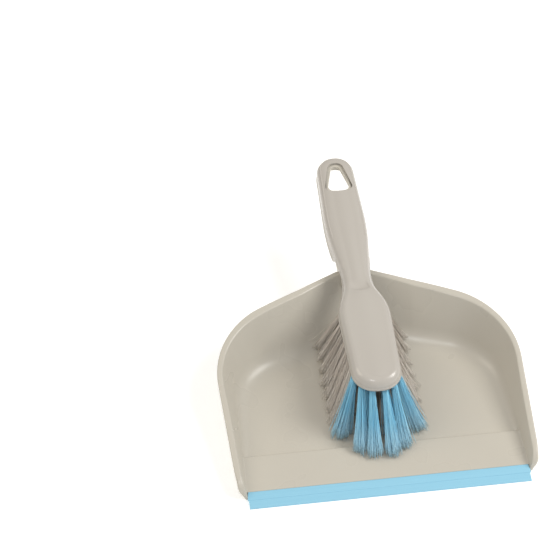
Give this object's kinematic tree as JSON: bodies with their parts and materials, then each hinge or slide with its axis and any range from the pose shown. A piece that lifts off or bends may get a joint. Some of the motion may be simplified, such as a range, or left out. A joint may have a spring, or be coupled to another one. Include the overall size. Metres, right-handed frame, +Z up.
{
  "type": "dust pan and brush set",
  "caption": "Hand dust pan with a soft rubber lip and a hand brush whose hollow handle sits over the pan's handle; the brush lifts off.",
  "frame": {"origin": "middle of the set's bounding box in plan, on the surface that the pan stands on", "axes": "+Y from the lip to the handles' end, +Z up, +X to the right seen from the lip's side"},
  "size_m": [0.2454, 0.3174, 0.0755],
  "materials": {
    "pan_plastic": "gloss moulded polypropylene",
    "brush_plastic": "satin moulded polypropylene",
    "lip_rubber": "satin thermoplastic rubber",
    "blue_filament": "crimped filament with split ends",
    "cream_filament": "crimped filament with split ends",
    "anchor_wire": "flat drawn wire"
  },
  "bodies": {
    "pan": {"pan_body": "pan_plastic", "lip_strip": "lip_rubber"},
    "brush": {"brush_body": "brush_plastic", "blue_tufts_nose": "blue_filament", "blue_tufts_row_1": "blue_filament", "cream_tufts_row_2": "cream_filament", "cream_tufts_row_3": "cream_filament", "cream_tufts_row_4": "cream_filament", "cream_tufts_row_5": "cream_filament", "cream_tufts_row_6": "cream_filament", "cream_tufts_row_7": "cream_filament", "cream_tufts_row_8": "cream_filament", "cream_tufts_heel": "cream_filament", "anchors_nose": "anchor_wire", "anchors_row_1": "anchor_wire", "anchors_row_2": "anchor_wire", "anchors_row_3": "anchor_wire", "anchors_row_4": "anchor_wire", "anchors_row_5": "anchor_wire", "anchors_row_6": "anchor_wire", "anchors_row_7": "anchor_wire", "anchors_row_8": "anchor_wire", "anchors_heel": "anchor_wire"}
  },
  "joints": [
    {"name": "brush_lift", "type": "slide", "parent": "pan", "child": "brush", "axis": [0, 0, 1], "range_m": [0, 0.12]}
  ]
}
